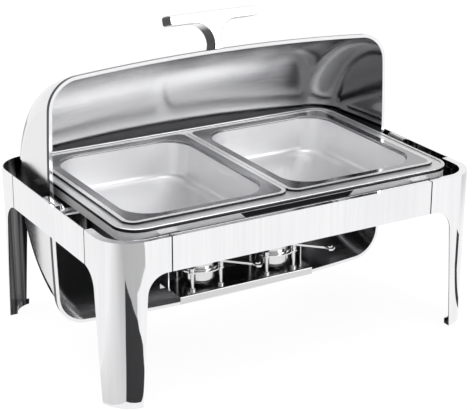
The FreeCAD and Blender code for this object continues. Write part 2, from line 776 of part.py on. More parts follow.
def wrapped_rail(name, reach):
    """Angle under one long side of the water pan's rim; it wraps both corners."""
    rail = new_body(name)

    def wrap(depth):
        bend_out = "water_corner - rail_inset"
        outer_x, outer_y = RAIL_X, f"rail_inset - {reach}"
        inner_x, inner_y = f"{RAIL_X} - {depth}", f"rail_inset - {reach} + {depth}"
        bend_in = f"{bend_out} - {depth}"
        return [
            (f"0 - {outer_x}", "0 - rail_wrap"), (f"0 - {outer_x}", outer_y, bend_out),
            (outer_x, outer_y, bend_out), (outer_x, "0 - rail_wrap"), (inner_x, "0 - rail_wrap"),
            (inner_x, inner_y, bend_in), (f"0 - ({inner_x})", inner_y, bend_in),
            (f"0 - ({inner_x})", "0 - rail_wrap"),
        ]
    bottom = f"{RAIL_TOP} - rail_height"
    prism(rail, "XY", bottom, "rail_height", wrap("rail_sheet"))
    prism(rail, "XY", f"{RAIL_TOP} - rail_sheet", "rail_sheet", wrap("rail_flange"))
    return rail


def cut_notch(rail):
    """Opening below the flange in the middle of the front rail, with sloping ends."""
    top, bottom = f"{RAIL_TOP} - rail_sheet", f"{RAIL_TOP} - rail_height - 1"
    foot = "notch_half_length - rail_height"
    notch = [("0 - notch_half_length", top), ("notch_half_length", top), (foot, bottom), (f"0 - ({foot})", bottom)]
    prism(rail, "XZ", f"0 - {RAIL_Y} - 1", "rail_sheet + 2", notch, cut=True)


def left_rail():
    """Side rail between the wrapped ends of the front and rear rails."""
    rail = new_body("pan_rail_left")
    outer, top = f"0 - {RAIL_X}", RAIL_TOP
    section = [
        (outer, f"{top} - rail_height"), (outer, top), (f"{outer} + rail_flange", top),
        (f"{outer} + rail_flange", f"{top} - rail_sheet"), (f"{outer} + rail_sheet", f"{top} - rail_sheet"),
        (f"{outer} + rail_sheet", f"{top} - rail_height"),
    ]
    prism(rail, "XZ", "0 - rail_wrap", "rail_wrap * 2", section)
    return rail


def left_tie():
    """Flat plate that ties the front rail to the underside of the apron's flange."""
    tie = new_body("tie_plate_left")
    front, rear = f"{FRAME_FRONT} + frame_sheet * 2", f"0 - {RAIL_Y}"
    low_x, high_x = "0 - tie_x - tie_width / 2", "0 - tie_x + tie_width / 2"
    outline = [(low_x, front), (high_x, front), (high_x, rear), (low_x, rear)]
    prism(tie, "XY", "frame_height - frame_sheet * 2", "frame_sheet", outline)
    return tie


pan = water_pan()
pan_rail_front = wrapped_rail("pan_rail_front", "water_front")
cut_notch(pan_rail_front)
rear_rail = wrapped_rail("rear_rail", "water_rear")
pan_rail_rear = mirrored("pan_rail_rear", rear_rail, (0, 1, 0))
pan_rail_left = left_rail()
pan_rail_right = mirrored("pan_rail_right", pan_rail_left)
tie_plate_left = left_tie()
tie_plate_right = mirrored("tie_plate_right", tie_plate_left)


# Food pans -------------------------------------------------------------------------------

def food_pan(name, side):
    """Half-size pan: a lipped flange and a drafted bowl with a well-rounded floor."""
    centre, top = f"{side} food_pitch", "water_ledge + food_lip"
    pan = new_body(name, x=centre, z=top)
    half_x, half_y = "food_half_length", "food_half_width"
    reach_x, reach_y = value(f"{half_x} - food_flange * 0.75"), value(f"{half_y} - food_flange * 0.75")

    def meets_flange(level):
        at_level = lies_at("Z", level)

        def accept(edge):
            middle = edge.BoundBox.Center
            return at_level(edge) and abs(middle.x - value(centre)) < reach_x and abs(middle.y) < reach_y
        return accept
    flange = rounded_rectangle(half_x, half_y, "food_corner")
    inside_lip = rounded_rectangle(f"{half_x} - food_sheet", f"{half_y} - food_sheet", "food_corner - food_sheet")
    sunk(pan, "food_sheet", flange)
    sunk(pan, "food_lip", flange, inside_lip)
    bowl = (f"{half_x} - food_flange", f"{half_y} - food_flange", "food_bowl_corner", "food_depth", "food_draft")
    drafted_bowl(pan, bowl, "0", "food_floor_round")
    round_edges(pan, "food_bend - food_sheet", meets_flange(f"{top} - food_sheet"))
    take_out_inside(pan, bowl, "food_sheet", "food_floor_round")
    round_edges(pan, "food_bend", meets_flange(top))
    return pan


food_pan_left = food_pan("food_pan_left", "0 -")
food_pan_right = food_pan("food_pan_right", "0 +")


# Fuel shelf ------------------------------------------------------------------------------

def fuel_shelf():
    """Channel with its lips turned down at the front and the rear."""
    shelf = new_body("fuel_shelf")
    top, lip, skin = "shelf_top", "shelf_top - shelf_lip", "shelf_sheet"
    section = [
        ("0 - shelf_front", lip), ("0 - shelf_front", top, "shelf_sheet * 2"),
        ("shelf_rear", top, "shelf_sheet * 2"), ("shelf_rear", lip), (f"shelf_rear - {skin}", lip),
        (f"shelf_rear - {skin}", f"{top} - {skin}", skin), (f"0 - shelf_front + {skin}", f"{top} - {skin}", skin),
        (f"0 - shelf_front + {skin}", lip),
    ]
    prism(shelf, "YZ", "0 - shelf_half_length", "shelf_half_length * 2", section)
    return shelf


def left_hanger():
    """Bent strap from under the shelf's end, out below the pan and up to the pivot plate.

    The notch in its front edge lets the snuffer lever swing right round.
    """
    hanger = new_body("shelf_hanger_left")
    skin = "hanger_sheet"
    under = "shelf_top - shelf_sheet"
    riser, outer = "0 - shelf_half_length - seat_gap", "0 - hanger_x"
    path = [
        ("0 - shelf_half_length + shelf_tab", under),
        (riser, under),
        (riser, "hanger_crossing", "hanger_bend + hanger_sheet"),
        (f"{outer} + {skin}", "hanger_crossing", "hanger_bend"),
        (f"{outer} + {skin}", "hanger_top"),
        (outer, "hanger_top"),
        (outer, f"hanger_crossing - {skin}", "hanger_bend + hanger_sheet"),
        (f"{riser} - {skin}", f"hanger_crossing - {skin}", "hanger_bend"),
        (f"{riser} - {skin}", f"{under} - {skin}", "hanger_sheet * 1.5"),
        ("0 - shelf_half_length + shelf_tab", f"{under} - {skin}"),
    ]
    rear = "shelf_rear - shelf_sheet * 2 - seat_gap"
    prism(hanger, "XZ", "0 - hanger_front", f"hanger_front + {rear}", path)
    hole = Circle("0", "pivot_height", bush_bore)
    prism(hanger, "YZ", f"{outer} - 1", "hanger_sheet + 2", hole, cut=True)
    low, high = "post_top - wire", "post_top + wire * 2"
    notch = [("0 - hanger_front - 1", low), ("lever_notch", low, "wire / 2"), ("lever_notch", high, "wire / 2"),
             ("0 - hanger_front - 1", high)]
    prism(hanger, "YZ", f"{riser} - {skin} - 1", "hanger_sheet + 2", notch, cut=True)
    return hanger


shelf = fuel_shelf()
hanger_left = left_hanger()
hanger_right = mirrored("shelf_hanger_right", hanger_left)


# Burners ---------------------------------------------------------------------------------

def burner_ring(name, x):
    """Ring that carries the pot, with four ears over the posts."""
    ring = new_body(name, x, "burner_y", "ring_top - ring_sheet")
    hole = Circle("0", "0", "ring_hole")
    prism(ring, "XY", "0", "ring_sheet", Circle("0", "0", "ring_radius"), hole)
    for side_x in ("0 - ", ""):
        for side_y in ("0 - ", ""):
            ear = Circle(f"{side_x}post_offset", f"{side_y}post_offset", "post_radius * 2")
            prism(ring, "XY", "0", "ring_sheet", ear)
    return ring


def burner_posts(name, x):
    """Four posts with a knob foot on the shelf and a nut above the ring."""
    stem_height = "ring_top - ring_sheet - shelf_top"
    stem = [
        ("0", "0"), ("post_radius * 1.8", "0"), ("post_radius * 1.8", "post_radius * 1.4", "post_radius / 2"),
        ("post_radius", "post_radius * 1.4"), ("post_radius", stem_height), ("0", stem_height),
    ]
    nut_height = "post_top - ring_top"
    nut = [
        ("0", "0"), ("post_radius * 1.5", "0"), ("post_radius * 1.5", nut_height, "post_radius / 2"),
        ("0", nut_height),
    ]
    members = []
    for side_x in ("-", "+"):
        for side_y in ("-", "+"):
            place = (f"{x} {side_x} post_offset", f"burner_y {side_y} post_offset")
            members.append(turned("post", stem, *place, "shelf_top"))
            members.append(turned("post_nut", nut, *place, "ring_top"))
    return group(name, members)


def fuel_pot(name, x):
    """Round pot that hangs in the ring by its bead."""
    rise = "pot_top - pot_bottom"
    seat = "ring_top - pot_bottom"
    inside = "pot_radius - pot_wall"
    corners = [
        ("0", "0"), ("pot_radius", "0", "pot_round"), ("pot_radius", seat), ("pot_bead", seat),
        ("pot_bead", f"{seat} + pot_wall * 2", "pot_wall * 0.9"), ("pot_radius", f"{seat} + pot_wall * 2"),
        ("pot_radius", rise), (inside, rise), (inside, "pot_wall", "pot_round - pot_wall"), ("0", "pot_wall"),
    ]
    return turned(name, corners, x, "burner_y", "pot_bottom")


def snuffer_cap(name, x):
    corners = [
        ("0", "0"), ("cap_radius", "0"), ("cap_radius", "cap_height / 2", "cap_height / 4"),
        ("cap_radius * 0.7", "cap_height", "cap_height * 2"), ("0", "cap_height"),
    ]
    return turned(name, corners, x, "burner_y", "pot_top + seat_gap")


def snuffer_lever(name, x):
    """Wire lever from the middle of the cap over the post's screw to a finger loop."""
    lever = new_body(name, x, "burner_y", "post_top + seat_gap")
    lever.Placement.Rotation = Rotation(Vector(0, 0, 1), -45)
    pivot, half = "post_offset * sqrt(2)", "wire / 2"
    prism(lever, "XY", "0", "wire", Circle(pivot, "0", "eye_radius"),
          Circle(pivot, "0", "snuffer_screw_radius + running_gap"))
    stem = [
        (f"{pivot} + eye_radius - 1", f"0 - {half}"), ("stem_reach + wire", f"0 - {half}"),
        ("stem_reach + wire", half), (f"{pivot} + eye_radius - 1", half),
    ]
    prism(lever, "XY", "0", "wire", stem)
    loop = [("stem_reach", "0", "wire"), ("loop_reach", "0 - loop_half_width", "wire * 1.5"),
            ("loop_reach", "loop_half_width", "wire * 1.5")]
    eye = [("stem_reach + wire * 2", "0", half), ("loop_reach - wire", "0 - loop_half_width + wire * 1.6", half),
           ("loop_reach - wire", "loop_half_width - wire * 1.6", half)]
    prism(lever, "XY", "0", "wire", loop, eye)
    cap_top = "pot_top + seat_gap + cap_height - post_top - seat_gap"
    riser = f"({pivot} - eye_radius + 0.5)"
    rise = [
        ("0", cap_top), ("0", f"{cap_top} + wire"), (riser, f"{cap_top} + wire", "wire"),
        (riser, "0"), (f"{riser} - 2", "0"), (f"{riser} - 2", cap_top),
    ]
    prism(lever, "XZ", f"0 - {half}", "wire", rise)
    return lever


def snuffer_screw(name, x):
    clear = "wire + seat_gap * 2"
    corners = [
        ("0", "0"), ("snuffer_screw_radius", "0"), ("snuffer_screw_radius", clear),
        ("snuffer_screw_radius * 2", clear), ("snuffer_screw_radius * 2", f"{clear} + 2", "0.8"),
        ("0", f"{clear} + 2"),
    ]
    place = (f"{x} + post_offset", "burner_y - post_offset")
    return turned(name, corners, *place, "post_top")


burner_nodes = []
snuffer_screws = []
for side, x in (("left", "0 - burner_x"), ("right", "burner_x")):
    burner_nodes.append(burner_ring(f"burner_ring_{side}", x))
    burner_nodes.append(burner_posts(f"burner_posts_{side}", x))
    burner_nodes.append(fuel_pot(f"fuel_pot_{side}", x))
    burner_nodes.append(snuffer_cap(f"snuffer_cap_{side}", x))
    burner_nodes.append(snuffer_lever(f"snuffer_lever_{side}", x))
    snuffer_screws.append(snuffer_screw(f"snuffer_screw_{side}", x))
burner_nodes.append(group("snuffer_screws", snuffer_screws))


# Checks and files ------------------------------------------------------------------------

nodes = [
    leg_front_left, leg_front_right, leg_rear_left, leg_rear_right,
    apron_front, apron_rear, apron_left, apron_right, seam_straps,
    lid_shell, lid_rim, handle, lid_ear_left, lid_ear_right, pivot_bush_left, pivot_bush_right, ear_rivets,
    pivot_bracket_left, pivot_bracket_right, pivot_plate_left, pivot_plate_right,
    lid_stop_left, lid_stop_right, pivot_pin_left, pivot_pin_right, pivot_spacers, pivot_nuts,
    pan, pan_rail_front, pan_rail_rear, pan_rail_left, pan_rail_right, tie_plate_left, tie_plate_right,
    food_pan_left, food_pan_right, shelf, hanger_left, hanger_right, *burner_nodes,
]

doc.recompute()
for item in doc.Objects:
    if "Invalid" in item.State or "Error" in item.State:
        raise RuntimeError(f"{item.Label} failed: {item.State}")
os.makedirs("parts", exist_ok=True)
for node in nodes:
    if node.Shape.isNull() or not node.Shape.isValid():
        raise RuntimeError(f"{node.Label} has no valid shape")
for node in nodes:
    node.Shape.exportStep(f"parts/{node.Label}.step")
print(len(nodes), "nodes,", sum(len(node.Shape.Solids) for node in nodes), "solids")
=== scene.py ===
# %% [markdown]
# # A roll-top chafing dish in stainless steel
# A chafing dish keeps food warm over hot water. This one has a barrel lid that rolls back
# and down behind two half-size food pans, a water pan under them, and two fuel burners on
# a shelf. Every part comes from the imported CAD model and keeps its size and place. This
# lesson gives each part the finish that it has in a shop, then lays a floor, builds the
# light round it and sets up the camera.

# %% [markdown]
# ## Load the frame
# The CAD nodes arrive in metres, each at the origin with its place in its mesh.

# %% Load the frame
import json
import math

import bpy
from mathutils import Matrix, Vector


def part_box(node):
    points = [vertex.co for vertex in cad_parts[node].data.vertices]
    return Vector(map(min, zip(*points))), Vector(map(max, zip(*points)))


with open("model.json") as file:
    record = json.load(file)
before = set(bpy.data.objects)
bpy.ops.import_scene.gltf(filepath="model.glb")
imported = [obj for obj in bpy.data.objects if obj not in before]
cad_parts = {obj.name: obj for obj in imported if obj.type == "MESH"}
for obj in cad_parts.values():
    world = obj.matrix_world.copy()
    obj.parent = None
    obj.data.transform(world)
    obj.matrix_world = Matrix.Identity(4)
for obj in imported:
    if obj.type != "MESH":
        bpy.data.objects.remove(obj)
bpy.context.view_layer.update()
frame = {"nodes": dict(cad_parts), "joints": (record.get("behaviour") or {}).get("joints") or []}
nodes = frame["nodes"]

# %% [markdown]
# ## Colours
# Colours are written as the hex values that a screen shows, because those are easy to
# read off a colour chart. A shader works in linear light, so one function converts them
# by the sRGB curve, which is straight in the darkest tones and a power of 2.4 above them.
# The colour picker takes the same hex values and does this unseen, but a script has to do
# it itself.

# %% Colours
def linear(hex_colour):
    channels = [int(hex_colour[index:index + 2], 16) / 255 for index in (1, 3, 5)]
    light = [c / 12.92 if c <= 0.04045 else ((c + 0.055) / 1.055) ** 2.4 for c in channels]
    return (*light, 1.0)


print("pale steel in linear light", [round(value, 3) for value in linear("#E6E6E7")])

# %% [markdown]
# ## Nodes
# A material is a small net of nodes. In the shader editor each one is added from the
# menu, set up and joined by hand. This helper does those three steps at once. Whatever is
# given for a socket is joined if it is another node's output, and typed in if it is a
# value.

# %% Nodes
def add_node(tree, kind, inputs=None, **settings):
    node = tree.nodes.new(kind)
    for name, setting in settings.items():
        setattr(node, name, setting)
    for socket, given in (inputs or {}).items():
        if isinstance(given, bpy.types.NodeSocket):
            tree.links.new(given, node.inputs[socket])
        else:
            node.inputs[socket].default_value = given
    return node


print("nodes are added with", add_node.__name__)

# %% [markdown]
# ## One recipe for worked steel
# Every steel part here starts as sheet, wire or a casting, and is then rolled, brushed,
# tumbled or buffed. What differs is the mark that this leaves: how long and how wide its
# grains are, how much they scatter light, and how deep they go. So one function builds a
# steel from those sizes in millimetres, and each finish below is a call of it.
#
# The grains are a noise stretched along the way that the tool moved. A second, larger
# noise stands for the slight waves of thin sheet and the film that a cloth leaves. Both
# shift the colour and the roughness a little, and both go into the bump, so that a
# reflection swims. The two noises are multiplied and a quarter is added, which brings
# their middle back to one half. A metal keeps the default index of refraction: its colour
# carries its look.

# %% The recipe
marks_lift, marks_low, marks_high = 0.25, 0.25, 0.75


def worked_steel(name, colours, roughness, grain_mm, relief_mm,
                 wave_mm=120, wave_relief_mm=0.0, lengthwise=0.0):
    steel = bpy.data.materials.new(name)
    steel.use_nodes = True
    tree = steel.node_tree
    shader = tree.nodes["Principled BSDF"]
    shader.inputs["Metallic"].default_value = 1.0
    shader.inputs["Anisotropic"].default_value = lengthwise
    place = add_node(tree, "ShaderNodeTexCoord")
    along_tool = add_node(tree, "ShaderNodeMapping", {
        "Vector": place.outputs["Object"], "Scale": tuple(1000 / size for size in grain_mm)})
    grain = add_node(tree, "ShaderNodeTexNoise", {
        "Vector": along_tool.outputs["Vector"], "Scale": 1.0, "Detail": 4.0, "Roughness": 0.6})
    film = add_node(tree, "ShaderNodeTexNoise", {
        "Vector": place.outputs["Object"], "Scale": 1000 / wave_mm, "Detail": 2.0})
    marks = add_node(tree, "ShaderNodeMath", {
        0: grain.outputs["Fac"], 1: film.outputs["Fac"], 2: marks_lift},
        operation="MULTIPLY_ADD")
    tint = add_node(tree, "ShaderNodeMix", {
        "Factor": marks.outputs["Value"], 6: linear(colours[0]), 7: linear(colours[1])},
        data_type="RGBA")
    tree.links.new(tint.outputs[2], shader.inputs["Base Color"])
    gloss = add_node(tree, "ShaderNodeMapRange", {
        "Value": marks.outputs["Value"], "From Min": marks_low, "From Max": marks_high,
        "To Min": roughness[0], "To Max": roughness[1]})
    tree.links.new(gloss.outputs["Result"], shader.inputs["Roughness"])
    waves = add_node(tree, "ShaderNodeBump", {
        "Height": film.outputs["Fac"], "Distance": wave_relief_mm / 1000, "Strength": 1.0})
    scratches = add_node(tree, "ShaderNodeBump", {
        "Height": grain.outputs["Fac"], "Distance": relief_mm / 1000, "Strength": 1.0,
        "Normal": waves.outputs["Normal"]})
    tree.links.new(scratches.outputs["Normal"], shader.inputs["Normal"])
    print(name, "grain", grain_mm, "mm")
    return steel, tree, shader, place


# %% [markdown]
# ## A second finish and painted shade on the same part
# Shops rarely finish a part the same all over. A sheet is buffed outside and left as
# rolled inside, and the flange of a pan is smoother than its well. The part could be cut
# into faces with a material each, but its mesh must stay as it is. So a mask, which is 1
# where the second finish lies, blends its colour and roughness over the first. The same
# blend also lays painted shade and painted light over parts of a surface.

# %% Second finish
def second_finish_and_painted_shade(tree, shader, where, colour, roughness):
    colour = linear(colour) if isinstance(colour, str) else colour
    first_colour = shader.inputs["Base Color"].links[0].from_socket
    first_roughness = shader.inputs["Roughness"].links[0].from_socket
    two_colours = add_node(tree, "ShaderNodeMix", {
        "Factor": where, 6: first_colour, 7: colour}, data_type="RGBA")
    tree.links.new(two_colours.outputs[2], shader.inputs["Base Color"])
    two_glosses = add_node(tree, "ShaderNodeMix", {
        "Factor": where, 2: first_roughness, 3: roughness})
    tree.links.new(two_glosses.outputs[0], shader.inputs["Roughness"])


print("a second finish is laid on with", second_finish_and_painted_shade.__name__)

# %% [markdown]
# ## Which side of a sheet
# A thin sheet bent round a middle has an inside and an outside. A face is on the outside
# when it looks away from the middle: the way from the middle to the face, multiplied with
# the face's normal, is then more than nothing. Each axis has a weight, and 0 leaves it
# out. The cut edges of a sheet give about nothing, so a face has to be clear of that by
# 20 mm.

# %% Inside or outside
clear_of_edge = 0.02


def faces_away(tree, place, centre, axis_weights):
    from_centre = add_node(tree, "ShaderNodeVectorMath", {
        0: place.outputs["Object"], 1: centre}, operation="SUBTRACT")
    weighted = add_node(tree, "ShaderNodeVectorMath", {
        0: from_centre.outputs["Vector"], 1: axis_weights}, operation="MULTIPLY")
    away = add_node(tree, "ShaderNodeVectorMath", {
        0: weighted.outputs["Vector"], 1: place.outputs["Normal"]}, operation="DOT_PRODUCT")
    return away.outputs["Value"]


print("sides are told apart with", faces_away.__name__)

# %% [markdown]
# ## Frame: where the seams are
# Legs and aprons meet edge to edge. On the real frame the joint shows as a hair of shade,
# 0.9 mm wide on each side once the cut edges are deburred. The seams' places come from
# the boxes of the aprons. A seam could be cut as a groove, but the shapes belong to the
# CAD model, so it is drawn in the finish.

# %% Seams
front_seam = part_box("apron_front")[1][0]
side_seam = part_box("apron_left")[1][1]
seam_half_width = 0.0009
seam_colour, seam_roughness = "#3C3C3E", 0.4
print("seams at", round(front_seam * 1000, 1), "and", round(side_seam * 1000, 1), "mm")

# %% [markdown]
# ## Frame: mirror-polished sheet outside, mill streaks and painted shade inside
# The legs and aprons are pressed from stainless sheet. Only the outside is buffed, in
# long upright strokes, and gives back a sharp, slightly wavy picture of the room. Strokes
# are 6 mm apart and 260 mm long, and the sheet waves over 140 mm. The inside keeps the
# streaks of the rolling mill, 400 mm long and 9 mm wide, which is coarser than the real
# ones so that they show. Their dark and pale tones are painted shade and painted light:
# they set how deep the shade under the aprons is, so each call gives them. An image of
# streaks would do as well, but a stretched noise needs no file and fits every part.

# %% Frame recipe
streak_mm = (9, 9, 400)
streak_dark, streak_pale = 0.42, 0.68


def frame_sheet(name, painted_inside_dark, painted_inside_pale, inside_roughness):
    steel, tree, shader, place = worked_steel(
        name, colours=("#DCDCDE", "#FAFAFB"), roughness=(0.02, 0.06),
        grain_mm=(6, 6, 260), relief_mm=0.004, wave_mm=140, wave_relief_mm=0.35)
    outward = faces_away(tree, place, (0, 0, 0), (1, 1, 0))
    inside = add_node(tree, "ShaderNodeMath", {
        0: outward, 1: -clear_of_edge}, operation="LESS_THAN")
    rolled = add_node(tree, "ShaderNodeMapping", {
        "Vector": place.outputs["Object"], "Scale": tuple(1000 / size for size in streak_mm)})
    streaks = add_node(tree, "ShaderNodeTexNoise", {
        "Vector": rolled.outputs["Vector"], "Scale": 1.0, "Detail": 3.0})
    spread = add_node(tree, "ShaderNodeMapRange", {
        "Value": streaks.outputs["Fac"], "From Min": streak_dark, "From Max": streak_pale})
    # the streaks on the inside are tinted with the painted shade or painted light that each call
    # gives
    painted_inside_tone = add_node(tree, "ShaderNodeMix", {
        "Factor": spread.outputs["Result"], 6: linear(painted_inside_dark), 7: linear(painted_inside_pale)},
        data_type="RGBA")
    second_finish_and_painted_shade(tree, shader, inside.outputs["Value"], painted_inside_tone.outputs[2], inside_roughness)
    both_sides = add_node(tree, "ShaderNodeVectorMath", {
        0: place.outputs["Object"]}, operation="ABSOLUTE")
    along = add_node(tree, "ShaderNodeSeparateXYZ", {"Vector": both_sides.outputs["Vector"]})
    for axis, seam in (("X", front_seam), ("Y", side_seam)):
        at_seam = add_node(tree, "ShaderNodeMath", {
            0: along.outputs[axis], 1: seam, 2: seam_half_width}, operation="COMPARE")
        second_finish_and_painted_shade(tree, shader, at_seam.outputs["Value"], seam_colour, seam_roughness)
    return steel


# %% [markdown]
# ## Frame: two calls
# Most of the frame has its inside painted dark, as painted shade. The front apron and the
# leg beside it have their inside painted pale instead, as painted light, because the guest
# sees them through the gap round the water pan.

# %% Frame finishes
frame_steel = frame_sheet(
    "mirror_polished_stainless_sheet",
    painted_inside_dark="#121213", painted_inside_pale="#6E6E70", inside_roughness=0.22)
# the pale inside of this sheet is painted light
front_steel = frame_sheet(
    "mirror_polished_stainless_front_sheet",
    painted_inside_dark="#C0C0C2", painted_inside_pale="#E4E4E6", inside_roughness=0.3)

# %% [markdown]
# ## Lid: brushed inside
# The barrel is rolled from one sheet whose inner face was brushed along its length before
# rolling. The brush lines run from end to end and are 2.6 mm wide here, which is coarser
# than the real 0.2 mm so that they show at this size. They stretch each highlight across
# the barrel, which some anisotropy helps. The sheet also waves a little over 160 mm.
# Modelled scratches would need millions of faces, so the bump carries them.

# %% Lid, inside
lid_steel, tree, shader, place = worked_steel(
    "brushed_stainless_sheet", colours=("#D2D2D3", "#F8F8F9"), roughness=(0.12, 0.24),
    grain_mm=(420, 2.6, 2.6), relief_mm=0.05, wave_mm=160, wave_relief_mm=0.4,
    lengthwise=0.4)

# %% [markdown]
# ## Lid: painted shade on the ends inside
# The bulging ends are pressed as separate pieces and can't be brushed along the barrel,
# so they stay smoother, and mirror the barrel beside them in curved lines. Their darker
# grey is painted shade.
# Only their inner faces look sideways towards the middle of the lid, 0.29 m away. The
# finish starts on faces that are turned by 60 degrees from looking straight at it, and is
# whole from 25 degrees on. The ends could be told by their place, but they run into the
# barrel in a round corner, where the way a face looks changes smoothly and gives a soft
# border.

# %% Lid, ends
end_shade_starts, end_shade_whole = -0.14, -0.26
sideways = faces_away(tree, place, (0, 0, 0), (1, 0, 0))
# painted shade on the inner faces of the lid's ends
lid_end_painted_shade = add_node(tree, "ShaderNodeMapRange", {
    "Value": sideways, "From Min": end_shade_starts, "From Max": end_shade_whole})
second_finish_and_painted_shade(tree, shader, lid_end_painted_shade.outputs["Result"], colour="#88888A", roughness=0.12)
print("dark ends between", end_shade_starts, "and", end_shade_whole)

# %% [markdown]
# ## Lid: polished outside
# The outer face is buffed. The lid is a half barrel round the line that it turns about,
# so a face is outside when it looks away from that line. Its height is read from the
# joint. Faces could also be picked by hand in edit mode, but a rule keeps working when
# the CAD model changes.

# %% Lid, outside
lid_joint = next(joint for joint in frame["joints"] if joint["name"] == "lid_turn")
pivot_height = lid_joint["pos_m"][2]
print("lid turns about a line", round(pivot_height * 1000, 1), "mm above the floor")
lid_outward = faces_away(tree, place, (0, 0, pivot_height), (0, 1, 1))
barrel_outside = add_node(tree, "ShaderNodeMath", {
    0: lid_outward, 1: clear_of_edge}, operation="GREATER_THAN")
second_finish_and_painted_shade(tree, shader, barrel_outside.outputs["Value"], colour="#E8E8E9", roughness=0.05)

# %% [markdown]
# ## Food pans: satin well
# Half-size pans are drawn from sheet and then tumbled, which leaves an even satin that
# has no direction. It spreads every lamp into a soft glow, so the pans look paler and
# softer than anything round them. The real pits of 0.1 mm are drawn at 1.5 mm and very
# shallow. Pits that small would vanish at this size anyway, so most of the softness is
# given as roughness.

# %% Food pans, well
food_pan_steel, tree, shader, place = worked_steel(
    "satin_stainless_pressing", colours=("#F2F2F3", "#FAFAFB"), roughness=(0.39, 0.43),
    grain_mm=(1.5, 1.5, 1.5), relief_mm=0.0006, wave_mm=200, wave_relief_mm=0.01)

# %% [markdown]
# ## Food pans: polished flange with a painted reflection
# The flange is pressed between flat, polished dies. It stays smoother than the well and
# so mirrors the dark lid behind it, and its grey is painted darker as well, a painted
# reflection of that lid. It is the top 4 mm of the pan. Height alone finds it, because
# nothing else of the pan reaches so high.

# %% Food pans, flange
flange_low, flange_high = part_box("food_pan_left")
flange_depth = 0.004
flange_height = flange_high[2] - flange_depth
height = add_node(tree, "ShaderNodeSeparateXYZ", {"Vector": place.outputs["Object"]})
# the flange's darker grey is a painted reflection of the dark lid behind it
flange_finish_and_painted_reflection = add_node(tree, "ShaderNodeMath", {
    0: height.outputs["Z"], 1: flange_height}, operation="GREATER_THAN")
second_finish_and_painted_shade(tree, shader, flange_finish_and_painted_reflection.outputs["Value"], colour="#9C9C9E", roughness=0.12)
print("flange above", round(flange_height * 1000, 1), "mm")

# %% [markdown]
# ## Food pans: how far out a point lies
# The outer edge of the flange is rolled over. To find it, each point is measured from the
# middle of its own pan as on a rectangle with rounded corners: both pans are folded onto
# one quarter, and past the middle of the corner's arc the distance is taken along the
# arc's radius. That number is the same all along the edge, also round the corners. The
# height is left out by putting the arc's middle far above the pan.

# %% Food pans, reach
flange_half = [(high - low) / 2 for low, high in zip(flange_low[:2], flange_high[:2])]
flange_corner, far_above = 0.020, 10
pan_offset = (flange_high[0] - flange_low[0]) / 2 - flange_high[0]
corner_centre = (flange_half[0] - flange_corner, flange_half[1] - flange_corner, far_above)
both_pans = add_node(tree, "ShaderNodeVectorMath", {
    0: place.outputs["Object"]}, operation="ABSOLUTE")
about_pan = add_node(tree, "ShaderNodeVectorMath", {
    0: both_pans.outputs["Vector"], 1: (pan_offset, 0, 0)}, operation="SUBTRACT")
one_quarter = add_node(tree, "ShaderNodeVectorMath", {
    0: about_pan.outputs["Vector"]}, operation="ABSOLUTE")
past_corner = add_node(tree, "ShaderNodeVectorMath", {
    0: one_quarter.outputs["Vector"], 1: corner_centre}, operation="SUBTRACT")
only_past = add_node(tree, "ShaderNodeVectorMath", {
    0: past_corner.outputs["Vector"]}, operation="MAXIMUM")
reach = add_node(tree, "ShaderNodeVectorMath", {
    0: only_past.outputs["Vector"]}, operation="LENGTH")
print("pans stand", round(pan_offset * 2 * 1000, 1), "mm apart, middle to middle")

# %% [markdown]
# ## Food pans: rolled edge
# Rolling scuffs the steel, so the outer 6.5 mm are rougher and catch the light as a white
# line round each pan. Where the edge turns down, its normal rises by less than 0.35.
# There it sees only the gap beneath it, and that gap's shade is painted on as a dark line.

# %% Food pans, edge
rolled_width, turned_rise = 0.0065, 0.35
rolled_edge = add_node(tree, "ShaderNodeMath", {
    0: reach.outputs["Value"], 1: flange_corner - rolled_width}, operation="GREATER_THAN")
second_finish_and_painted_shade(tree, shader, rolled_edge.outputs["Value"], colour="#FDFDFD", roughness=0.47)
facing = add_node(tree, "ShaderNodeSeparateXYZ", {"Vector": place.outputs["Normal"]})
turned_down = add_node(tree, "ShaderNodeMath", {
    0: facing.outputs["Z"], 1: turned_rise}, operation="LESS_THAN")
# painted shade on the turned-down side of the rolled edge
turned_edge_painted_shade = add_node(tree, "ShaderNodeMath", {
    0: turned_down.outputs["Value"], 1: rolled_edge.outputs["Value"]}, operation="MULTIPLY")
second_finish_and_painted_shade(tree, shader, turned_edge_painted_shade.outputs["Value"], colour="#2A2A2C", roughness=0.35)
print("rolled edge", rolled_width * 1000, "mm wide")

# %% [markdown]
# ## Tie plates: buffed pressing
# The flat plates that tie the rails to the aprons are buffed like the frame, but the
# strokes follow their edges. That leaves a short grain, 18 mm, with no direction, on
# metal that waves over 90 mm. Marks as fine as these come back on two more parts, so they
# have a name.

# %% Tie plate finish
buffed_colours, buffed_roughness = ("#E4E4E5", "#F6F6F7"), (0.06, 0.12)
fine_marks = {
    "grain_mm": (18, 18, 18), "relief_mm": 0.004, "wave_mm": 90, "wave_relief_mm": 0.15}
plate_steel, *_ = worked_steel(
    "buffed_stainless_pressing", buffed_colours, buffed_roughness, **fine_marks)

# %% [markdown]
# ## Lid rim: bright band with painted dark sides
# The band round the mouth of the lid has the same buffed finish. It stands proud of the
# barrel, and its thin side is painted dark as painted shade. It draws the outline of the
# lid. The band faces forward when the lid is open, so its sides are the faces that don't.
# Place wouldn't tell them apart, because the band runs round the mouth in a curve.

# %% Lid rim
side_starts, side_whole = 0.7, 0.35
band_steel, tree, shader, place = worked_steel(
    "buffed_stainless_band", buffed_colours, buffed_roughness, **fine_marks)
facing = add_node(tree, "ShaderNodeSeparateXYZ", {"Vector": place.outputs["Normal"]})
forward = add_node(tree, "ShaderNodeMath", {0: facing.outputs["Y"]}, operation="ABSOLUTE")
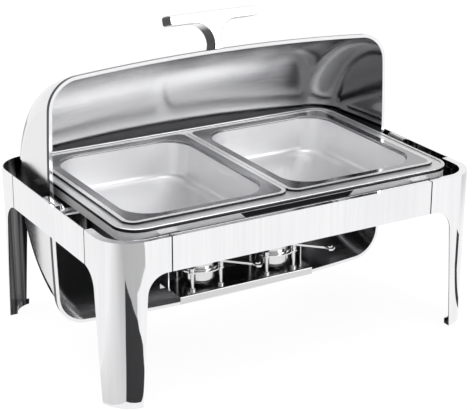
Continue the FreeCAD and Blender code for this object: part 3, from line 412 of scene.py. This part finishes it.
# painted shade on the thin sides of the band
band_side_painted_shade = add_node(tree, "ShaderNodeMapRange", {
    "Value": forward.outputs["Value"], "From Min": side_starts, "From Max": side_whole})
second_finish_and_painted_shade(tree, shader, band_side_painted_shade.outputs["Result"], colour="#2C2C2E", roughness=0.3)

# %% [markdown]
# ## Rails: blasted strip
# The rails that carry the water pan are folded from strip and blasted with fine beads.
# That hides the marks of the fold and keeps them an even pale grey in the narrow gap
# round the pan, where a mirror would show only shade. In the shader that is simply a high
# roughness.

# %% Rail finish
rail_steel, *_ = worked_steel(
    "bead_blasted_stainless_strip", colours=("#F0F0F1", "#FCFCFD"), roughness=(0.70, 0.76),
    grain_mm=(12, 12, 60), relief_mm=0.004, wave_mm=90, wave_relief_mm=0.15)

# %% [markdown]
# ## Water pan: deep-drawn steel
# The water pan is drawn deep, which stretches the steel and leaves it slightly matt all
# over, so its wide rim looks white under soft light. Its underside is painted dark, as
# painted shade under the pan. A point is on the underside when it lies more than 6 mm
# below the top and faces away from the middle of the pan, 20 mm down. The pan is long and
# shallow, so its length counts less there and its height counts more. A separate inner and
# outer skin would be simpler to colour, but the mesh is one piece.

# %% Water pan
water_pan_steel, tree, shader, place = worked_steel(
    "deep_drawn_stainless_pan", colours=("#F4F4F5", "#FDFDFD"), roughness=(0.40, 0.46),
    **fine_marks)
pan_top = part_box("water_pan")[1][2]
rim_depth, middle_depth = 0.006, 0.02
pan_middle, pan_weights = (0, 0, pan_top - middle_depth), (0.6, 1, 2)
outward = faces_away(tree, place, pan_middle, pan_weights)
height = add_node(tree, "ShaderNodeSeparateXYZ", {"Vector": place.outputs["Object"]})
below_rim = add_node(tree, "ShaderNodeMath", {
    0: height.outputs["Z"], 1: pan_top - rim_depth}, operation="LESS_THAN")
outside = add_node(tree, "ShaderNodeMath", {0: outward, 1: 0.0}, operation="GREATER_THAN")
# painted shade on the underside of the water pan
underside_painted_shade = add_node(tree, "ShaderNodeMath", {
    0: below_rim.outputs["Value"], 1: outside.outputs["Value"]}, operation="MULTIPLY")
second_finish_and_painted_shade(tree, shader, underside_painted_shade.outputs["Value"], colour="#2E2E30", roughness=0.5)
print("underside below", round((pan_top - rim_depth) * 1000, 1), "mm")

# %% [markdown]
# ## Water pan: side of the rim
# The rim ends in a turned-down side, as the pans' flanges do. Seen from above it is a
# thin dark line of painted shade that sets the white rim off from the frame. The same
# limit as before finds it, in the top 6 mm only.

# %% Water pan, rim side
facing = add_node(tree, "ShaderNodeSeparateXYZ", {"Vector": place.outputs["Normal"]})
turned_down = add_node(tree, "ShaderNodeMath", {
    0: facing.outputs["Z"], 1: turned_rise}, operation="LESS_THAN")
near_top = add_node(tree, "ShaderNodeMath", {
    0: height.outputs["Z"], 1: pan_top - rim_depth}, operation="GREATER_THAN")
# painted shade on the turned-down side of the rim
rim_side_painted_shade = add_node(tree, "ShaderNodeMath", {
    0: turned_down.outputs["Value"], 1: near_top.outputs["Value"]}, operation="MULTIPLY")
second_finish_and_painted_shade(tree, shader, rim_side_painted_shade.outputs["Value"], colour="#3A3A3C", roughness=0.3)
print("rim side in the top", rim_depth * 1000, "mm")

# %% [markdown]
# ## Handle: polished casting
# The handle is cast and polished by hand on a wheel. A casting isn't quite flat, so its
# reflections swim more than those of sheet, over 30 mm. The faces that look sideways, at
# the ends of the bar and the sides of the neck, are painted darker as painted shade, which
# draws the outline of the T against a white room. The shade starts where the sideways
# part of a face's normal is 0.45, and is whole where it is 0.8. It could be painted on by
# hand, but this follows the shape by itself.

# %% Handle finish
side_shade_starts, side_shade_whole = 0.45, 0.8
handle_steel, tree, shader, place = worked_steel(
    "polished_cast_stainless", colours=("#E4E4E5", "#F4F4F5"), roughness=(0.03, 0.08),
    grain_mm=(5, 5, 5), relief_mm=0.004, wave_mm=30, wave_relief_mm=0.25)
left_or_right = add_node(tree, "ShaderNodeVectorMath", {
    0: place.outputs["Normal"]}, operation="ABSOLUTE")
facing = add_node(tree, "ShaderNodeSeparateXYZ", {"Vector": left_or_right.outputs["Vector"]})
# painted shade on the faces of the handle that look sideways
sideways_painted_shade = add_node(tree, "ShaderNodeMapRange", {
    "Value": facing.outputs["X"], "From Min": side_shade_starts, "From Max": side_shade_whole})
second_finish_and_painted_shade(tree, shader, sideways_painted_shade.outputs["Result"], colour="#38383A", roughness=0.2)

# %% [markdown]
# ## Shelf: bright-rolled sheet
# The shelf and its hangers are plain sheet, bright from the last pair of rolls, with
# faint lines along their length. The lines are drawn 2 mm wide, coarser than the real
# ones. A plain grey would do for the hidden parts, but the lines cost nothing once the
# recipe is there.

# %% Shelf finish
shelf_steel, *_ = worked_steel(
    "bright_rolled_stainless_sheet", colours=("#C6C6C7", "#E0E0E1"), roughness=(0.14, 0.26),
    grain_mm=(90, 2, 2), relief_mm=0.01)

# %% [markdown]
# ## Burners: spun cups and bent wire
# The fuel pots are spun on a lathe, which leaves fine rings round them, 1.2 mm apart.
# Caps, rings, posts and levers get the same bright finish. Marks as fine as these could
# be turned into the mesh, but it would be many times heavier, so the bump carries them.

# %% Burner finish
burner_steel, *_ = worked_steel(
    "spun_stainless_cup", colours=("#D0D0D0", "#EAEAEA"), roughness=(0.08, 0.2),
    grain_mm=(14, 14, 1.2), relief_mm=0.02)

# %% [markdown]
# ## Hardware: turned bar
# Pins, nuts, screws and rivets are turned from bar and left as they come off the tool.
# The tool's marks run across the bar, 1.2 mm apart. The thread of a screw would be
# modelled in a close view. Here the heads are a few millimetres wide and the finish is
# enough.

# %% Hardware finish
hardware_steel, *_ = worked_steel(
    "turned_stainless_bar", colours=("#C2C2C3", "#E4E4E5"), roughness=(0.12, 0.24),
    grain_mm=(1.2, 6, 6), relief_mm=0.02)

# %% [markdown]
# ## Bushes: moulded nylon
# The lid turns in two flanged nylon bushes. Moulded nylon is an off-white plastic with a
# slightly waxy skin: no metal, a medium roughness and an index of refraction of 1.53. The
# flow of the melt leaves pale clouds, 2.5 mm across. One colour would nearly do, but the
# clouds keep it from looking painted.

# %% Bush finish
nylon_ior, cloud_mm = 1.53, 2.5
nylon = bpy.data.materials.new("moulded_nylon")
nylon.use_nodes = True
tree = nylon.node_tree
shader = tree.nodes["Principled BSDF"]
shader.inputs["IOR"].default_value = nylon_ior
place = add_node(tree, "ShaderNodeTexCoord")
flow = add_node(tree, "ShaderNodeTexNoise", {
    "Vector": place.outputs["Object"], "Scale": 1000 / cloud_mm, "Detail": 2.0})
tint = add_node(tree, "ShaderNodeMix", {
    "Factor": flow.outputs["Fac"], 6: linear("#DEDACE"), 7: linear("#EAE6DA")},
    data_type="RGBA")
tree.links.new(tint.outputs[2], shader.inputs["Base Color"])
gloss = add_node(tree, "ShaderNodeMapRange", {
    "Value": flow.outputs["Fac"], "To Min": 0.38, "To Max": 0.5})
tree.links.new(gloss.outputs["Result"], shader.inputs["Roughness"])
print(nylon.name, "clouds", cloud_mm, "mm")

# %% [markdown]
# ## Put the finishes on
# Each CAD node has one material slot. The first words of its name say what it is made of,
# and where two entries fit, the longer one holds. In the material tab this would be fifty
# choices by hand, and a table shows them at a glance.

# %% Finishes by name
finishes = {
    "leg_": frame_steel, "apron_": frame_steel, "seam_": frame_steel,
    "apron_front": front_steel, "leg_front_left": front_steel,
    "lid_shell": lid_steel, "lid_ear": lid_steel, "lid_rim": band_steel,
    "lid_handle": handle_steel, "lid_stop": hardware_steel, "ear_rivets": hardware_steel,
    "pivot_": hardware_steel, "pivot_bush": nylon,
    "water_pan": water_pan_steel, "pan_rail": rail_steel, "tie_plate": plate_steel,
    "food_pan": food_pan_steel, "fuel_shelf": shelf_steel, "shelf_hanger": shelf_steel,
    "burner_": burner_steel, "fuel_pot": burner_steel, "snuffer_": burner_steel,
    "snuffer_screws": hardware_steel,
}
for name, node in nodes.items():
    fitting = max((start for start in finishes if name.startswith(start)), key=len)
    node.data.materials.clear()
    node.data.materials.append(finishes[fitting])
print("finishes on", len(nodes), "nodes")

# %% [markdown]
# ## Floor
# A plain white board, 16 m across, lies a fifth of a millimetre below the feet so that no
# two faces lie in one place. Polished upright faces show little else than the floor
# before them. So most of the board's white is a glow, which is even all over. Its own
# colour is a dark grey, which lets the lamps add a little to it and keeps the shadows
# faint. A curved backdrop is the usual way, but its bend would show in the polished
# sheet.

# %% Floor
floor_colour, floor_glow = "#505050", 0.93
floor_width, floor_drop = 16, 0.0002
bpy.ops.object.select_all(action="DESELECT")
bpy.ops.mesh.primitive_plane_add(size=floor_width, location=(0, 0, -floor_drop))
floor = bpy.context.object
floor.name = "floor"
white_board = bpy.data.materials.new("matt_white_board")
white_board.use_nodes = True
shader = white_board.node_tree.nodes["Principled BSDF"]
shader.inputs["Base Color"].default_value = linear(floor_colour)
shader.inputs["Roughness"].default_value = 0.9
shader.inputs["Emission Color"].default_value = (1, 1, 1, 1)
shader.inputs["Emission Strength"].default_value = floor_glow
floor.data.materials.append(white_board)
print(floor.name, "laid,", floor_width, "m across")

# %% [markdown]
# ## Camera
# A long lens from the front left, a little above the dish, looks down into the pans. The
# three angles turn it to the right, tilt it down and roll it very slightly. A Track To
# constraint would aim it as well, but it would undo the roll.

# %% Camera
camera_place = (-1.0904, -1.8541, 0.9936)
view_turn, view_tilt, view_roll = (math.radians(angle) for angle in (30.53, 20.62, 0.27))
lens_mm, sensor_mm = 112.9, 36
dish_middle = (0, 0, 0.2)
camera_data = bpy.data.cameras.new("camera")
camera_data.lens = lens_mm
camera_data.sensor_width = sensor_mm
camera = bpy.data.objects.new("camera", camera_data)
standing = Matrix.Translation(camera_place)
heading = Matrix.Rotation(-view_turn, 4, "Z")
tilting = Matrix.Rotation(math.pi / 2 - view_tilt, 4, "X")
rolling = Matrix.Rotation(view_roll, 4, "Z")
camera.matrix_world = standing @ heading @ tilting @ rolling
bpy.context.scene.collection.objects.link(camera)
bpy.context.scene.camera = camera
print("camera", round((camera.location - Vector(dish_middle)).length, 2), "m from the dish")

# %% [markdown]
# ## Room
# Polished metal shows the room more than it shows light, so the room is built first. It
# is white near the horizon, dark higher up and pale again at the ceiling, which gives
# every rounded edge a light line and a dark line. Straight overhead the ceiling is
# greyer, so that flat faces don't burn out when the dish is seen from above. Each level
# is a height on the unit sphere round the dish, from 0 at the horizon to 1 overhead, and
# its brightness. A new ramp already has two levels, so only the later ones are added. A
# panorama image could stand for the room too, but greys by height need no file and are
# easy to tune.

# %% Room
room_levels = (
    (0.37, 1.0), (0.48, 0.04), (0.68, 0.04), (0.80, 1.1), (0.88, 0.95), (0.95, 0.35))
world = bpy.data.worlds.new("studio")
bpy.context.scene.world = world
world.use_nodes = True
tree = world.node_tree
direction = add_node(tree, "ShaderNodeTexCoord")
height = add_node(tree, "ShaderNodeSeparateXYZ", {"Vector": direction.outputs["Generated"]})
room = add_node(tree, "ShaderNodeValToRGB", {"Fac": height.outputs["Z"]})
walls = room.color_ramp
for index, (rise, grey) in enumerate(room_levels):
    level = walls.elements[index] if index < 2 else walls.elements.new(rise)
    level.position = rise
    level.color = (grey, grey, grey, 1)
tree.links.new(room.outputs["Color"], tree.nodes["Background"].inputs["Color"])
tree.nodes["Background"].inputs["Strength"].default_value = 1.0
bpy.context.scene.view_settings.view_transform = "Standard"
print("room with", len(walls.elements), "levels")

# %% [markdown]
# ## Softboxes
# Two large softboxes light the satin parts. The one overhead whitens the rims, and the
# one in front, a little to the right, fills the far walls of the pans and the gap round
# the water pan, and leaves the walls on the right in a soft shade. Point lamps would
# leave hard spots on satin, and a wide lamp spreads them.

# %% Softboxes
def softbox(name, place, aim, width, height, watts):
    data = bpy.data.lights.new(name, "AREA")
    data.shape = "RECTANGLE"
    data.size = width
    data.size_y = height
    data.energy = watts
    lamp = bpy.data.objects.new(name, data)
    lamp.location = place
    lamp.rotation_euler = (Vector(aim) - Vector(place)).to_track_quat("-Z", "Y").to_euler()
    bpy.context.scene.collection.objects.link(lamp)
    print(name, watts, "W")


softbox("overhead_softbox", (-0.1, -0.3, 1.9), dish_middle, width=2.2, height=1.8, watts=24)
softbox("front_softbox", (1.35, -2.3, 1.2), dish_middle, width=1.6, height=0.8, watts=13)

# %% [markdown]
# ## Cards on the floor
# Polished metal in an all-white room looks flat. Studios therefore lay dark and grey card
# on the table, just out of sight, and let the metal pick it up as a stripe that shows how
# the face bends. The stripes could be painted on the metal, but then they would stay in
# place when the dish or the camera turns. A card is a flat polygon: a filled circle with
# as many corners as needed, whose corners are then moved to their places, in metres from
# the middle of the dish. Only reflections see it: it throws no shadow, and matt surfaces
# are neither lit nor shaded by it. Cards that lie over each other differ by a fraction of
# a millimetre in height, so that no two meet.
#
# Two of the cards fade. They glow as the floor does at their near end and less at their
# far end, so no edge shows where they begin.

# %% Card helpers
def card_board(name, colour):
    board = bpy.data.materials.new(name)
    board.use_nodes = True
    shader = board.node_tree.nodes["Principled BSDF"]
    shader.inputs["Base Color"].default_value = linear(colour)
    shader.inputs["Roughness"].default_value = 0.8
    return board, board.node_tree, shader


def fade_glow(tree, shader, distance, near, far, far_glow):
    fade = add_node(tree, "ShaderNodeMapRange", {
        "Value": distance, "From Min": near, "From Max": far,
        "To Min": floor_glow, "To Max": far_glow})
    tree.links.new(fade.outputs["Result"], shader.inputs["Emission Strength"])
    shader.inputs["Emission Color"].default_value = (1, 1, 1, 1)


def lay_card(name, board, height, corners):
    bpy.ops.object.select_all(action="DESELECT")
    bpy.ops.mesh.primitive_circle_add(
        vertices=len(corners), fill_type="NGON", location=(0, 0, 0))
    card = bpy.context.object
    card.name = name
    for point, (x, y) in zip(card.data.vertices, corners):
        point.co = (x, y, height)
    card.data.materials.append(board)
    card.visible_camera = card.visible_shadow = card.visible_diffuse = False
    print(name, "laid with", len(corners), "corners")


# %% [markdown]
# ## Graded card
# This one lies before the front left leg and fades from white to grey, away from the dish
# and to the right. The round corner of the leg shows it as a soft shade beside the wedge.
# A second lamp could shade the corner as well, but it would also light the rest. Distance
# along a direction is the dot product of the place with it.

# %% Graded card
away_and_right = (0.447, -0.894, 0)
graded_board, tree, shader = card_board("graded_card", floor_colour)
place = add_node(tree, "ShaderNodeTexCoord")
across = add_node(tree, "ShaderNodeVectorMath", {
    0: place.outputs["Object"], 1: away_and_right}, operation="DOT_PRODUCT")
fade_glow(tree, shader, across.outputs["Value"], near=-0.16, far=0.24, far_glow=0.42)
lay_card("graded_card", graded_board, height=0.0003, corners=[
    (-0.33, -0.10), (-0.305, -0.215), (-0.28, -0.60), (-0.03, -0.68),
    (-0.05, -0.95), (-0.75, -1.0), (-1.2, -0.6), (-1.0, -0.10)])

# %% [markdown]
# ## Black cards
# A black wedge runs out from the same leg and gives it its long dark stripe. A narrow one
# beside the front right leg does the same for that leg's edge. Both are laid by their
# corners, because a rectangle would also darken the faces beside the stripe.

# %% Black cards
black_board, *_ = card_board("black_card", "#1C1C1E")
lay_card("leg_card", black_board, height=0.0006, corners=[
    (-0.565, -0.560), (-0.430, -0.370), (-0.305, -0.215), (-0.270, -0.225),
    (-0.235, -0.320), (-0.225, -0.400), (-0.280, -0.500), (-0.410, -0.550)])
lay_card("right_card", black_board, height=0.0006, corners=[
    (0.33, -0.175), (0.50, -0.30), (0.66, -0.36), (0.66, -0.25), (0.50, -0.235),
    (0.37, -0.165)])

# %% [markdown]
# ## Shaded card
# Behind and to the right, a wide card darkens with its distance from the dish. It keeps
# the rear legs and the back of the barrel from melting into the white floor. A grey wall
# behind the dish would do that too, but the camera would see it.

# %% Shaded card
shaded_board, tree, shader = card_board("shaded_card", floor_colour)
place = add_node(tree, "ShaderNodeTexCoord")
distance = add_node(tree, "ShaderNodeVectorMath", {
    0: place.outputs["Object"]}, operation="LENGTH")
fade_glow(tree, shader, distance.outputs["Value"], near=0.72, far=1.3, far_glow=0.35)
lay_card("shaded_card", shaded_board, height=0.0002, corners=[
    (-0.34, 0.26), (0.34, 0.24), (0.34, -0.14), (1.6, -0.6), (1.6, 1.6), (-0.34, 1.6)])
